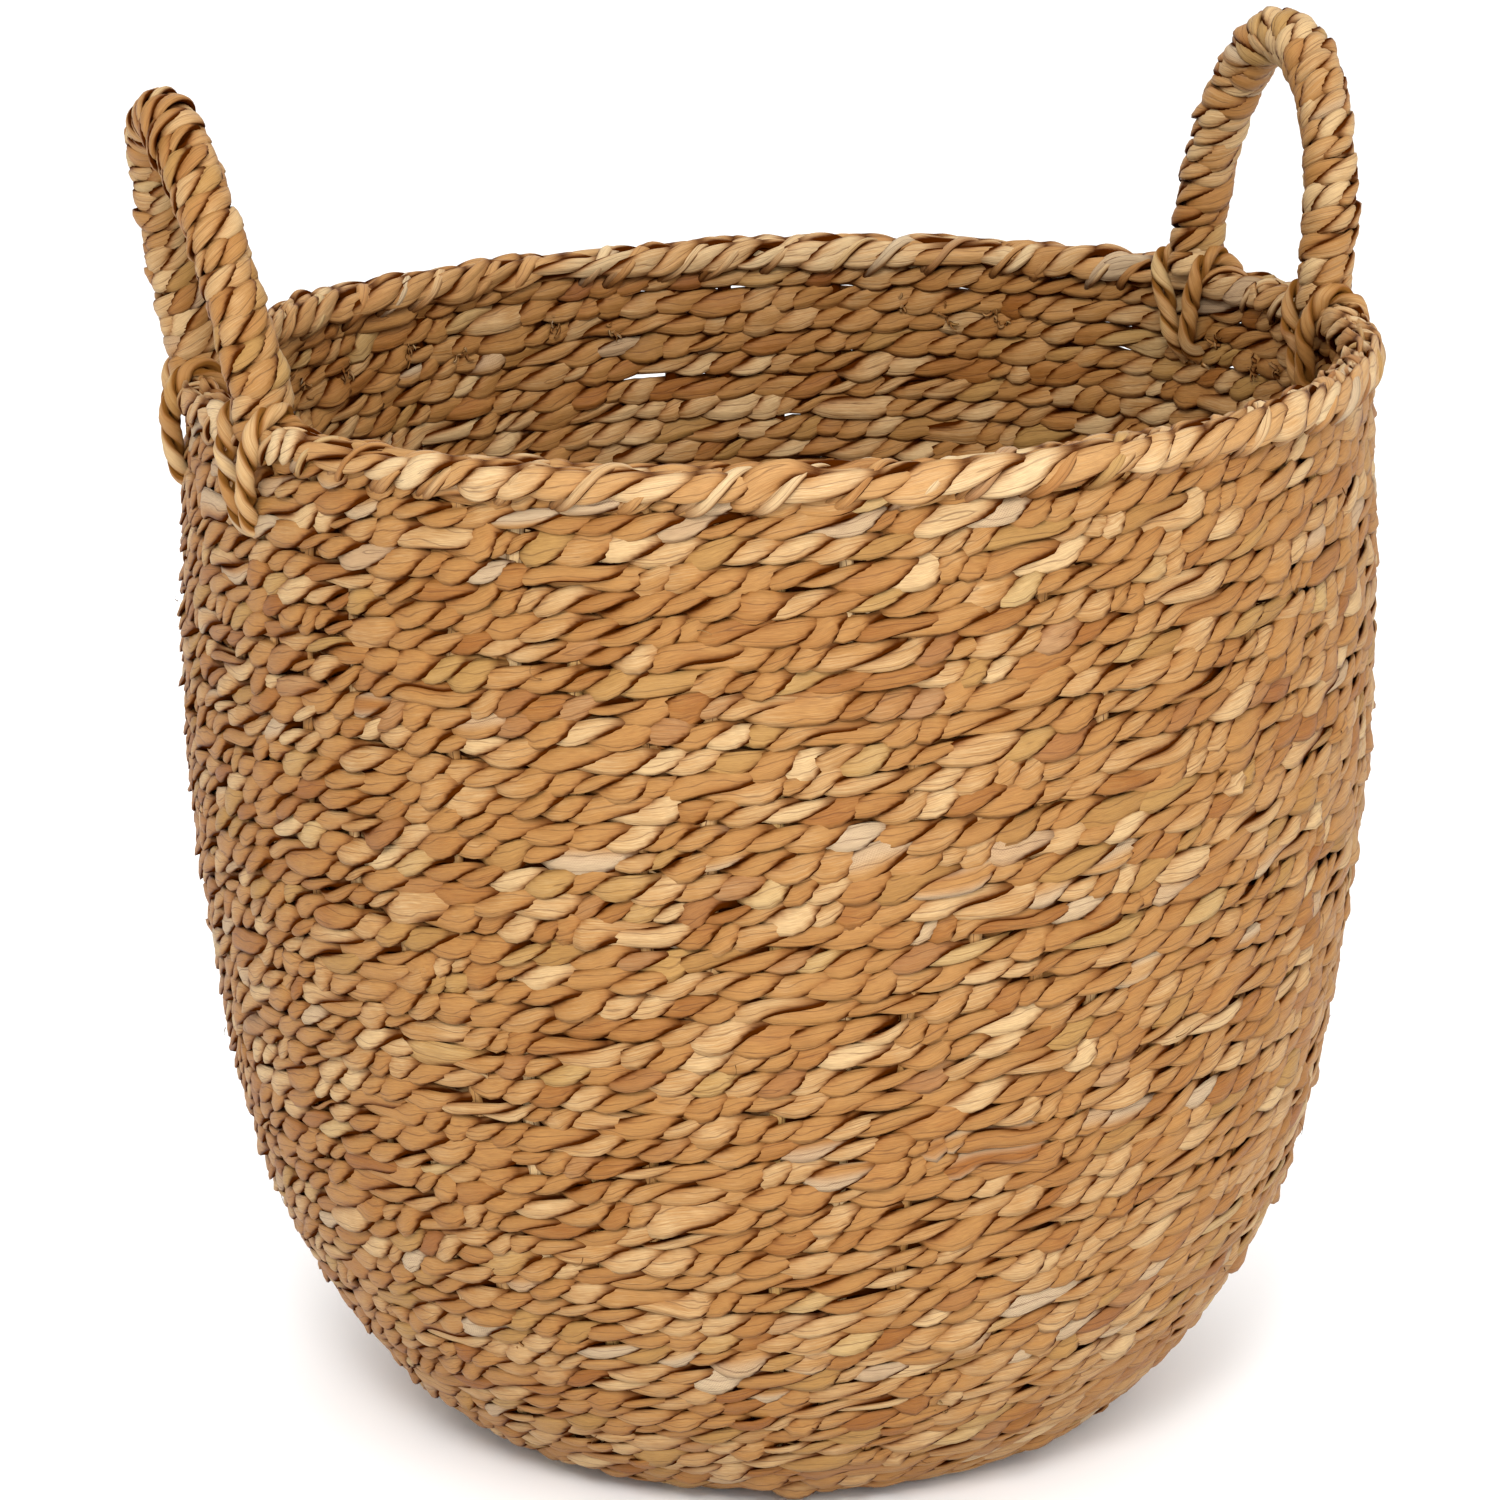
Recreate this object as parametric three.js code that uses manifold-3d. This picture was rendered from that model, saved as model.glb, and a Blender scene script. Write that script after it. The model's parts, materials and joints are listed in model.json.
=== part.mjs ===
// Seagrass storage basket, in millimetres, +Z up, with the origin at the middle of the underside.
// Twined bands of weft lie on both faces of a cage of upright stakes. A rope border closes the rim,
// and two wrapped rope handles stand on it, each held by lashings and by tails tucked into the wall.

import Module from 'manifold-3d';
import * as THREE from 'three';
import { mergeVertices } from 'three/addons/utils/BufferGeometryUtils.js';

// Body
const RIM_HEIGHT = 360;
const RIM_LEAN = 6; // the rim stands this much higher on the +X side and lower on the -X side
const RIM_RADIUS = 193;
const BASE_RADIUS = 100;
const FACETS = 40; // flat sides round the body
const OUTLINE = [ // outer face of the wall from the base's edge to the border, as [radius, height]
  [BASE_RADIUS, 0], [119, 6], [143, 30], [167.5, 70], [183, 120], [194, 200], [197, 265], [RIM_RADIUS, 352.5],
];

// Layers of the wall, as depths in from its outer face
const OUTER_LAYER = [0, 2.9];
const STAKE_LAYER = [3.2, 5.8];
const INNER_LAYER = [6.1, 8.8];
const GAP = 0.3; // clearance between neighbouring pieces
const BAND_COUNT = 7;
const BAND_STRETCHES = [3, 2, 2, 1, 1, 1, 1]; // straight stretches up each band, more at the rounded corner

// Stakes
const STAKE_COUNT = FACETS / 2;
const STAKE_WIDTH = 6;
const START_KNOT_RADIUS = 26;
const STAKE_START = START_KNOT_RADIUS + 4;

// Border
const BORDER_ROPE_RADIUS = 3.1;
const BORDER_SIDES = 6;

// Handles
const FOOT_HALF_SPREAD = 41; // from the middle of a handle to the middle of a leg
const HINGE_CLEARANCE = 7.5; // the legs bend at this height above the border
const LEFT_ARCH_HEIGHT = 84.5; // from the bend to the core's middle at the crown
const RIGHT_ARCH_HEIGHT = 75;
const LEFT_PLACE_DEG = 173.5; // the handles' places round the rim, from +X; they aren't quite opposite
const RIGHT_PLACE_DEG = 0;
const WRAP_RADIUS = 9;
const CORE_RADIUS = 5.5;
const BORE_RADIUS = 6.2; // the hollow of the wrap, a little wider than the core
const CORE_STUB = 2; // the core reaches this far below the wrap
const ARCH_STEPS = 16;
const LEFT_LEAN_DEG = 13;
const RIGHT_LEAN_DEG = 6;

// Lashings and tails
const LASHING_RADIUS = 2.5;
const LASHING_OFFSET = 13; // from a leg's middle, along the rim
const LASHING_HALF_SPAN = 12; // half the width of the loop that goes over the border
const LASHING_DROP = 30; // how far its ends reach below the border
const TAIL_WIDTH = 10;
const TAIL_REACH = [0.1, 0.9]; // where it starts and ends on the topmost band

const COLOURS = {
  outerWeft: 0xbf8951,
  innerWeft: 0x97633a,
  stake: 0xa9773f,
  border: 0xc9975c,
  wrap: 0xbd8448,
  core: 0xa87840,
  lashing: 0xc08a4c,
  base: 0xb98a54,
};

const FACET_ANGLE = 2 * Math.PI / FACETS;
const FACET_SHRINK = Math.cos(FACET_ANGLE / 2); // a facet's middle against its corners
const WALL_DEPTH = INNER_LAYER[1];
const wallOutline = new THREE.SplineCurve(OUTLINE.map(([r, z]) => new THREE.Vector2(r, z)));
const outlineLength = wallOutline.getLength();

const wasm = await Module();
wasm.setup();
const basket = new THREE.Group();

function fibre(colour) {
  return new THREE.MeshStandardMaterial({ color: colour, roughness: 0.85, metalness: 0 });
}

function addPiece(parent, name, geometry, colour) {
  const mesh = new THREE.Mesh(geometry, fibre(colour));
  mesh.name = name;
  parent.add(mesh);
  return mesh;
}

function leanAt(x, z) {
  return RIM_LEAN * (x / RIM_RADIUS) * (z / RIM_HEIGHT) ** 2;
}

// Shifts each point up or down by the rim's lean, which fades out towards the base.
function lean(geometry) {
  const places = geometry.getAttribute('position');
  for (let i = 0; i < places.count; i++) {
    places.setZ(i, places.getZ(i) + leanAt(places.getX(i), places.getZ(i)));
  }
  return geometry;
}

// A point of the wall: along is 0 at the base's edge and 1 at the border, depth is in from the outer face.
function wallPoint(along, depth) {
  const point = wallOutline.getPointAt(along);
  const tangent = wallOutline.getTangentAt(along);
  return new THREE.Vector2(point.x - tangent.y * depth, point.y + tangent.x * depth);
}

// A ring of the given outline (radius, height), with facets whose middles lie on multiples of a facet's angle.
function ring(outline) {
  const geometry = new THREE.LatheGeometry([...outline, outline[0]], FACETS, FACET_ANGLE / 2);
  return geometry.rotateX(Math.PI / 2);
}

// A round mat of one layer, flat on the floor's side, that ends just inside the wall or at the given radius.
function mat([bottom, top], limit = Infinity) {
  const edge = Math.min(wallPoint(0, bottom).x, wallPoint(0, top).x) - GAP;
  const radius = Math.min(edge, limit);
  const shape = new THREE.Shape();
  for (let i = 0; i <= FACETS; i++) {
    const angle = (i + 0.5) * FACET_ANGLE;
    const x = radius * Math.cos(angle);
    const y = radius * Math.sin(angle);
    if (i === 0) shape.moveTo(x, y);
    else shape.lineTo(x, y);
  }
  const geometry = new THREE.ExtrudeGeometry(shape, { depth: top - bottom, bevelEnabled: false });
  return geometry.translate(0, 0, bottom);
}

function sweep(shape, points, steps, curveSegments = 2) {
  const path = new THREE.CatmullRomCurve3(points);
  return new THREE.ExtrudeGeometry(shape, { steps, extrudePath: path, curveSegments });
}

function roundShape(radius) {
  return new THREE.Shape().absarc(0, 0, radius, 0, 2 * Math.PI);
}

// The places along the outline where one band's face bends.
function bandStations(index) {
  const gapShare = GAP / outlineLength;
  const from = index / BAND_COUNT + (index > 0 ? gapShare / 2 : 0);
  const to = (index + 1) / BAND_COUNT - gapShare / 2;
  const stretches = BAND_STRETCHES[index];
  return Array.from({ length: stretches + 1 }, (_, i) => from + (to - from) * i / stretches);
}

// The closed outline of one layer between two depths, through the given places along the wall.
function layerOutline(stations, [outside, inside]) {
  const outer = stations.map((along) => wallPoint(along, outside));
  const inner = stations.map((along) => wallPoint(along, inside)).reverse();
  return [...outer, ...inner];
}

function weftBand(index, layer) {
  return lean(ring(layerOutline(bandStations(index), layer)));
}

function solidOf(geometry) {
  geometry.deleteAttribute('normal');
  geometry.deleteAttribute('uv');
  const merged = mergeVertices(geometry);
  const vertProperties = merged.getAttribute('position').array;
  return new wasm.Manifold(new wasm.Mesh({ numProp: 3, vertProperties, triVerts: merged.index.array }));
}

function geometryOf(solid) {
  const { vertProperties, triVerts } = solid.getMesh();
  const geometry = new THREE.BufferGeometry();
  geometry.setAttribute('position', new THREE.BufferAttribute(vertProperties, 3));
  return geometry.setIndex(new THREE.BufferAttribute(triVerts, 1));
}

// A flat strip cut out of a ring: the part of it at an angle round the body, within a width.
function strip(ringSolid, angle, width) {
  const slab = new THREE.BoxGeometry(2 * RIM_RADIUS, width, 3 * RIM_HEIGHT).translate(RIM_RADIUS, 0, 0);
  return lean(geometryOf(ringSolid.intersect(solidOf(slab.rotateZ(angle)))));
}

// The cage that the stakes are cut from: out from the start knot, round the corner and up the wall.
function stakeCage() {
  const stations = BAND_STRETCHES.flatMap((stretches, index) => (
    Array.from({ length: stretches }, (_, i) => (index + i / stretches) / BAND_COUNT)
  ));
  const outline = layerOutline([...stations, 1], STAKE_LAYER);
  const [low, high] = STAKE_LAYER;
  return solidOf(ring([new THREE.Vector2(STAKE_START, low), ...outline, new THREE.Vector2(STAKE_START, high)]));
}

// The ring that the handle tails are cut from, a little thinner than the stakes.
function tailRing() {
  const stations = TAIL_REACH.map((share) => (BAND_COUNT - 1 + share) / BAND_COUNT);
  return solidOf(ring(layerOutline(stations, [STAKE_LAYER[0] + GAP, STAKE_LAYER[1] - GAP])));
}

// A border rope lies on the wall's top edge, its middle at the given radius.
function borderRope(radius) {
  const height = RIM_HEIGHT - BORDER_ROPE_RADIUS;
  const outline = [];
  for (let i = 0; i < BORDER_SIDES; i++) {
    const angle = (i + 0.5) * 2 * Math.PI / BORDER_SIDES;
    outline.push(new THREE.Vector2(
      radius + BORDER_ROPE_RADIUS * Math.cos(angle),
      height + BORDER_ROPE_RADIUS * Math.sin(angle),
    ));
  }
  return lean(ring(outline));
}

function archPoints(height, stub) {
  const points = [];
  for (let i = 0; i <= ARCH_STEPS; i++) {
    const angle = Math.PI * i / ARCH_STEPS;
    points.push(new THREE.Vector3(0, FOOT_HALF_SPREAD * Math.cos(angle), height * Math.sin(angle)));
  }
  if (stub > 0) {
    points.unshift(new THREE.Vector3(0, FOOT_HALF_SPREAD, -stub));
    points.push(new THREE.Vector3(0, -FOOT_HALF_SPREAD, -stub));
  }
  return points;
}

// The group stands at the middle of the line where the legs bend, with its own x pointing out of the basket.
function addHandle(name, place, height, leanDeg) {
  const group = new THREE.Group();
  const reach = footRadius * Math.cos(footAngle);
  const x = reach * Math.cos(place);
  group.position.set(x, reach * Math.sin(place), RIM_HEIGHT + HINGE_CLEARANCE + leanAt(x, RIM_HEIGHT));
  group.rotation.set(0, THREE.MathUtils.degToRad(leanDeg), place, 'ZYX');
  basket.add(group);

  const wrapSection = roundShape(WRAP_RADIUS);
  wrapSection.holes.push(new THREE.Path().absarc(0, 0, BORE_RADIUS, 0, 2 * Math.PI, true));
  addPiece(group, `${name}_wrap`, sweep(wrapSection, archPoints(height, 0), ARCH_STEPS, 5), COLOURS.wrap);
  const core = sweep(roundShape(CORE_RADIUS), archPoints(height, CORE_STUB), ARCH_STEPS, 3);
  addPiece(group, `${name}_core`, core, COLOURS.core);
}

// A lashing is a short cord over the border, in the radial plane at the given angle.
function lashing(angle) {
  const crown = RIM_HEIGHT + GAP + LASHING_RADIUS + 1;
  const shoulder = crown - LASHING_HALF_SPAN;
  const foot = RIM_HEIGHT - LASHING_DROP;
  const points = [new THREE.Vector3(footRadius + LASHING_HALF_SPAN, 0, foot)];
  for (let i = 0; i <= 6; i++) {
    const turn = Math.PI * i / 6;
    points.push(new THREE.Vector3(
      footRadius + LASHING_HALF_SPAN * Math.cos(turn),
      0,
      shoulder + LASHING_HALF_SPAN * Math.sin(turn),
    ));
  }
  points.push(new THREE.Vector3(footRadius - LASHING_HALF_SPAN, 0, foot));
  const geometry = sweep(roundShape(LASHING_RADIUS), points, 10, 3);
  geometry.rotateZ(angle);
  return lean(geometry);
}

const footRadius = RIM_RADIUS - WALL_DEPTH / 2; // the middle of the wall's thickness at the rim
const footAngle = Math.asin(FOOT_HALF_SPREAD / footRadius);

function addBase() {
  addPiece(basket, 'base_mat_outer', mat(OUTER_LAYER), COLOURS.base);
  addPiece(basket, 'base_start_knot', mat(STAKE_LAYER, START_KNOT_RADIUS), COLOURS.base);
  addPiece(basket, 'base_mat_inner', mat(INNER_LAYER), COLOURS.innerWeft);
}

function addWall() {
  for (let i = 0; i < BAND_COUNT; i++) {
    addPiece(basket, `outer_weft_band_${i + 1}`, weftBand(i, OUTER_LAYER), COLOURS.outerWeft);
    addPiece(basket, `inner_weft_band_${i + 1}`, weftBand(i, INNER_LAYER), COLOURS.innerWeft);
  }
  const cage = stakeCage();
  for (let i = 0; i < STAKE_COUNT; i++) {
    const number = String(i + 1).padStart(2, '0');
    addPiece(basket, `stake_${number}`, strip(cage, (2 * i + 1) * FACET_ANGLE, STAKE_WIDTH), COLOURS.stake);
  }
}

function addBorder() {
  const offset = BORDER_ROPE_RADIUS + GAP / 2;
  addPiece(basket, 'border_rope_outer', borderRope(footRadius + offset), COLOURS.border);
  addPiece(basket, 'border_rope_inner', borderRope(footRadius - offset), COLOURS.border);
}

function addHandleFastenings(name, place) {
  const turn = LASHING_OFFSET / footRadius;
  const tails = tailRing();
  for (const [end, sign] of [['a', 1], ['b', -1]]) {
    const leg = place + sign * footAngle;
    addPiece(basket, `${name}_lashing_${end}_1`, lashing(leg - turn), COLOURS.lashing);
    addPiece(basket, `${name}_lashing_${end}_2`, lashing(leg + turn), COLOURS.lashing);
    addPiece(basket, `${name}_tail_${end}`, strip(tails, leg, TAIL_WIDTH), COLOURS.core);
  }
}

addBase();
addWall();
addBorder();
for (const [name, placeDeg, height, leanDeg] of [
  ['handle_left', LEFT_PLACE_DEG, LEFT_ARCH_HEIGHT, LEFT_LEAN_DEG],
  ['handle_right', RIGHT_PLACE_DEG, RIGHT_ARCH_HEIGHT, RIGHT_LEAN_DEG],
]) {
  const place = THREE.MathUtils.degToRad(placeDeg);
  addHandle(name, place, height, leanDeg);
  addHandleFastenings(name, place);
}

export default basket;
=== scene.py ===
"""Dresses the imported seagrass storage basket: twined wall and base, stakes, border, handles and lashings."""
import json
import logging
import math
from dataclasses import dataclass, field
from enum import Enum

import bpy
import numpy as np
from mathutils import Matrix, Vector


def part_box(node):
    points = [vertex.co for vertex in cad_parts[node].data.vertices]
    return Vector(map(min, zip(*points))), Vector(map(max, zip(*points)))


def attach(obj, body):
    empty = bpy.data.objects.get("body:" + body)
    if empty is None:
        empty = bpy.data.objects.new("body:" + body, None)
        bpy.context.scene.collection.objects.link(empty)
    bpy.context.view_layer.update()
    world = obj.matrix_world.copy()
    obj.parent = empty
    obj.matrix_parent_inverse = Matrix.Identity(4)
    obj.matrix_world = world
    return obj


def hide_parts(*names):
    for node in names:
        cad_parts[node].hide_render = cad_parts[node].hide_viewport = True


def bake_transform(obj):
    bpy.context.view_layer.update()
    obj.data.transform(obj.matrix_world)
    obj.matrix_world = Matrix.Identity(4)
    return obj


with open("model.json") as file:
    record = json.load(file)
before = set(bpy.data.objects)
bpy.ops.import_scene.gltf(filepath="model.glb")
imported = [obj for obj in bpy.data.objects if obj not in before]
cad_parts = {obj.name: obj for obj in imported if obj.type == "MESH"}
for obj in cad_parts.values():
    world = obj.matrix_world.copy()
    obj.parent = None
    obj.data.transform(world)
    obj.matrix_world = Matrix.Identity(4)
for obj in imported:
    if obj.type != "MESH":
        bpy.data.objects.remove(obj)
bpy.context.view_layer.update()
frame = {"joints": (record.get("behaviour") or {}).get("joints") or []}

LOG = logging.getLogger("basket")
MM = 0.001
UP = np.array([0.0, 0.0, 1.0])
Array = np.ndarray
Rng = np.random.Generator
Colour = tuple[float, float, float]
Socket = bpy.types.NodeSocket
Material = bpy.types.Material
Object = bpy.types.Object


def joint_place(name: str) -> Vector:
    """Gives the point of a joint's hinge line, in metres."""
    return Vector(next(j["pos_m"] for j in frame["joints"] if j["name"] == name))


def add_object(name: str, data: bpy.types.ID) -> Object:
    """Puts an object in the scene.

    Args:
        name: Its name.
        data: Its mesh, lamp or camera.

    Returns:
        The object.
    """
    made = bpy.data.objects.new(name, data)
    bpy.context.scene.collection.objects.link(made)
    return made


class Fibre(Enum):
    """Bundles that differ from the rest; the value is the tint's channel and the share of such bundles."""

    RUST = (0, 0.04)
    GREEN = (1, 0.08)
    PALE = (2, 0.04)


# ---- finishes


class FibreShading:
    """The shared node group that colours twisted seagrass from the attributes of its strands."""

    NAME = "seagrass_fibre"
    COLOURS = ("Shade", "Body", "Light", "Crease", "Rust", "Pale", "Green")
    NUMBERS = ("Streaks", "Folds")
    GLOSS = 0.24

    def __init__(self) -> None:
        """Opens the group and reads what its strands carry."""
        self.tree = bpy.data.node_groups.new(self.NAME, "ShaderNodeTree")
        for name in self.COLOURS:
            self.tree.interface.new_socket(name, in_out="INPUT", socket_type="NodeSocketColor")
        for name in self.NUMBERS:
            self.tree.interface.new_socket(name, in_out="INPUT", socket_type="NodeSocketFloat")
        self.tree.interface.new_socket("Color", in_out="OUTPUT", socket_type="NodeSocketColor")
        for name in ("Roughness", "Gloss", "Height"):
            self.tree.interface.new_socket(name, in_out="OUTPUT", socket_type="NodeSocketFloat")
        self.given = self.tree.nodes.new("NodeGroupInput").outputs
        self.along, self.across, self.seed = self._attribute("strand")
        # crease and facing carry where a strand dives or turns away, for the painted shade.
        self.tone, self.crease, self.facing = self._attribute("stitch")
        self.rust, self.green, self.pale = self._attribute("tint")
        self.drift = self._noise(60, 1, 2)
        self.streaks = self._noise(90, 30, 4)
        self.fine = self._noise(250, 90, 2)

    @classmethod
    def group(cls) -> bpy.types.NodeTree:
        """Returns the group, and builds it the first time."""
        return bpy.data.node_groups.get(cls.NAME) or cls()._build()

    def _build(self) -> bpy.types.NodeTree:
        """Joins the leaf's colour, its marks, the painted shade of its folds and gaps, and its relief.

        Returns:
            The finished node tree.
        """
        bare = self._math("MULTIPLY", self.pale, self._ramp(self.across, 0.95, 0.55))
        hatch = self._math("MULTIPLY", self._hatch(), bare)
        offset = self._fold_offset()
        # Painted shade in the gaps where a strand dives under another or turns away; it also dulls the gloss
        # there.
        gap_shade = self._gap_shade()
        # Painted shade along the fold lines; the cell walls of bare pith and the fibre lines are the leaf's
        # own marks.
        dark = self._math("MULTIPLY", self._ramp(offset, 0.07, 0.0), self.given["Folds"])
        dark = self._math("MULTIPLY_ADD", hatch, 0.35, dark)
        dark = self._math("MAXIMUM", dark, gap_shade)
        lines = self._math("MULTIPLY", self._ramp(self.fine, 0.62, 0.35), self.given["Streaks"])
        dark = self._math("MULTIPLY_ADD", lines, 0.3, dark, clamp=True)
        results = {
            "Color": self._mix(dark, self._leaf_colour(bare), self.given["Crease"]),
            "Roughness": self._math("MULTIPLY_ADD", self.streaks, 0.3, 0.42),
            "Gloss": self._math("MULTIPLY_ADD", gap_shade, -self.GLOSS, self.GLOSS),
            "Height": self._relief(offset, hatch),
        }
        out = self.tree.nodes.new("NodeGroupOutput").inputs
        for name, result in results.items():
            self.tree.links.new(result, out[name])
        return self.tree

    def _leaf_colour(self, bare: Socket) -> Socket:
        """Mixes the leaf's colour from its tone and its tints, with painted shade towards the edges where it
        dives or turns away, which leaves its open middle as a painted highlight.

        Args:
            bare: How much bare pith shows.

        Returns:
            The colour.
        """
        level = self._math("MULTIPLY_ADD", self.streaks, 0.55, self.tone)
        level = self._math("MULTIPLY_ADD", self.drift, 0.5, level)
        level = self._math("SUBTRACT", level, 0.525)
        colour = self._mix(self._ramp(level, 0.0, 0.5), self.given["Shade"], self.given["Body"])
        colour = self._mix(self._ramp(level, 0.5, 1.0), colour, self.given["Light"])
        # Painted shade: the leaf is mixed towards the Shade colour where it dives or turns away, so its open
        # middle shows as a painted highlight.
        centre = self._math("MULTIPLY", self._ramp(self.crease, 0.35, 1.0), self._ramp(self.facing, 0.1, 0.9))
        colour = self._mix(self._math("MULTIPLY_ADD", centre, -0.75, 0.75), colour, self.given["Shade"])
        colour = self._mix(self._math("MULTIPLY", self.rust, 0.6), colour, self.given["Rust"])
        colour = self._mix(self._math("MULTIPLY", self.green, 0.45), colour, self.given["Green"])
        return self._mix(self._math("MULTIPLY", bare, 0.85), colour, self.given["Pale"])

    def _fold_offset(self) -> Socket:
        """Finds how far a place lies from the nearest fold line, across the leaf.

        Returns:
            The distance, from 0 to 0.5.
        """
        place = self._math("ADD", self._math("MULTIPLY", self.across, 2.6), self.seed)
        place = self._math("MULTIPLY_ADD", self.drift, 1.4, place)
        return self._math("ABSOLUTE", self._math("SUBTRACT", self._math("FRACT", place), 0.5))

    def _gap_shade(self) -> Socket:
        """Finds the painted shade where the strand dives or turns away, 1 in the gaps and 0 on open faces."""
        lit = self._ramp(self.facing, -0.15, 0.48)
        return self._math("SUBTRACT", 1.0, self._math("MULTIPLY", self._ramp(self.crease, 0.0, 0.8), lit))

    def _relief(self, offset: Socket, hatch: Socket) -> Socket:
        """Adds up the height of the fibres, folds and cells.

        Args:
            offset: The distance from the nearest fold.
            hatch: The cell walls of bare pith.

        Returns:
            The height.
        """
        height = self._math("MULTIPLY", self.fine, 0.3)
        height = self._math("MULTIPLY_ADD", self.streaks, 0.35, height)
        height = self._math("MULTIPLY_ADD", offset, 1.1, height)
        return self._math("MULTIPLY_ADD", hatch, -0.3, height)

    def _hatch(self) -> Socket:
        """Makes the fine cell pattern of bare pith.

        Returns:
            1 on the cell walls.
        """
        ticks = self._math("SINE", self._math("MULTIPLY", self.along, 7000))
        rows = self._math("SINE", self._math("MULTIPLY", self.across, 95))
        return self._ramp(self._math("MULTIPLY", ticks, rows), 0.1, 0.9)

    def _node(self, kind: str, inputs: dict, **settings: object) -> bpy.types.Node:
        """Adds a node.

        Args:
            kind: Its type, without the common prefix.
            inputs: A socket or a number for each input, by its name or number.
            settings: Its properties.

        Returns:
            The node.
        """
        node = self.tree.nodes.new(f"ShaderNode{kind}")
        for name, setting in settings.items():
            setattr(node, name, setting)
        for key, value in inputs.items():
            if isinstance(value, Socket):
                self.tree.links.new(value, node.inputs[key])
            else:
                node.inputs[key].default_value = value
        return node

    def _attribute(self, name: str) -> list[Socket]:
        """Reads the three numbers of a vector attribute of the mesh."""
        vector = self._node("Attribute", {}, attribute_name=name).outputs["Vector"]
        return list(self._node("SeparateXYZ", {0: vector}).outputs)

    def _math(self, operation: str, *values: Socket | float, clamp: bool = False) -> Socket:
        """Works out an operation on its values; clamp holds the result between 0 and 1."""
        return self._node("Math", dict(enumerate(values)), operation=operation, use_clamp=clamp).outputs[0]

    def _ramp(self, value: Socket, start: float, end: float) -> Socket:
        """Turns the range from start to end into 0 to 1, smoothly."""
        inputs = {"Value": value, "From Min": start, "From Max": end}
        return self._node("MapRange", inputs, interpolation_type="SMOOTHSTEP").outputs["Result"]

    def _mix(self, share: Socket, first: Socket, second: Socket) -> Socket:
        """Mixes two colours; the share is how much of the second one shows."""
        return self._node("Mix", {0: share, 6: first, 7: second}, data_type="RGBA").outputs[2]

    def _noise(self, along: float, across: float, detail: float) -> Socket:
        """Makes a noise that is stretched along the strand.

        Args:
            along: How fast it changes along the strand, for each metre.
            across: How fast it changes round the strand.
            detail: How many octaves it has.

        Returns:
            Its value.
        """
        place = self._node("CombineXYZ", {
            0: self._math("MULTIPLY", self.along, along),
            1: self._math("MULTIPLY", self.across, across),
            2: self.seed,
        }).outputs[0]
        return self._node("TexNoise", {"Vector": place, "Scale": 1.0, "Detail": detail}).outputs[0]


def new_material(name: str) -> tuple[Material, bpy.types.NodeTree, bpy.types.Node]:
    """Makes a material.

    Args:
        name: Its name.

    Returns:
        The material, its node tree and its shader.
    """
    material = bpy.data.materials.new(name)
    material.use_nodes = True
    return material, material.node_tree, material.node_tree.nodes["Principled BSDF"]


@dataclass(frozen=True)
class SeagrassFinish:
    """A dried seagrass finish.

    Attributes:
        name: The material's name.
        shade: Colour of the darker strands, and of the painted shade towards a leaf's edges.
        body: Colour of most strands.
        light: Colour of the lighter strands.
        crease: Colour of the painted shade in folds and in the gaps between stitches.
        rust: Colour of the reddish strands.
        pale: Colour of bare pith.
        green: Colour of the greenish straw.
        streaks: Strength of the dark fibre lines.
        folds: Strength of the painted shade along the fold lines.
        bump: Strength of the relief.
        relief: Height of the relief, in metres.
    """

    name: str
    shade: Colour = (0.25, 0.088, 0.013)
    body: Colour = (0.355, 0.17, 0.046)
    light: Colour = (0.53, 0.355, 0.17)
    # crease is the colour of the painted shade in folds and gaps.
    crease: Colour = (0.055, 0.011, 0.0004)
    rust: Colour = (0.22, 0.075, 0.02)
    pale: Colour = (0.53, 0.4, 0.25)
    green: Colour = (0.36, 0.235, 0.07)
    streaks: float = 0.9
    folds: float = 0.42
    bump: float = 0.75
    relief: float = 0.6 * MM

    def material(self) -> Material:
        """Builds the material.

        Returns:
            The material.
        """
        material, tree, shader = new_material(self.name)
        fibre = tree.nodes.new("ShaderNodeGroup")
        fibre.node_tree = FibreShading.group()
        for socket in FibreShading.COLOURS:
            fibre.inputs[socket].default_value = (*getattr(self, socket.lower()), 1.0)
        for socket in FibreShading.NUMBERS:
            fibre.inputs[socket].default_value = getattr(self, socket.lower())
        bump = tree.nodes.new("ShaderNodeBump")
        bump.inputs["Strength"].default_value = self.bump
        bump.inputs["Distance"].default_value = self.relief
        for node, result, target, place in (
                (fibre, "Height", bump, "Height"), (fibre, "Color", shader, "Base Color"),
                (fibre, "Roughness", shader, "Roughness"), (bump, "Normal", shader, "Normal"),
                (fibre, "Gloss", shader, "Specular IOR Level")):
            tree.links.new(node.outputs[result], target.inputs[place])
        return material


@dataclass(frozen=True)
class PlainFinish:
    """A plain painted finish for the studio.

    Attributes:
        name: The material's name.
        colour: The paint's colour.
        roughness: How matt it is.
    """

    name: str
    colour: Colour
    roughness: float = 0.9

    def material(self) -> Material:
        """Builds the material.

        Returns:
            The material.
        """
        material, _, shader = new_material(self.name)
        shader.inputs["Base Color"].default_value = (*self.colour, 1.0)
        shader.inputs["Roughness"].default_value = self.roughness
        return material


# ---- lines and directions


def unit(vectors: Array) -> Array:
    """Scales the vectors in the last axis to length 1."""
    return vectors / np.maximum(np.linalg.norm(vectors, axis=-1, keepdims=True), 1e-12)


def lengths(points: Array) -> Array:
    """Measures how far along a line each of its points lies from the first."""
    return np.concatenate([[0], np.cumsum(np.linalg.norm(np.diff(points, axis=0), axis=1))])


def around(angle: Array) -> Array:
    """Gives the level direction round the body at each angle."""
    return np.stack([-np.sin(angle), np.cos(angle), np.zeros_like(angle)], -1)


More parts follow.
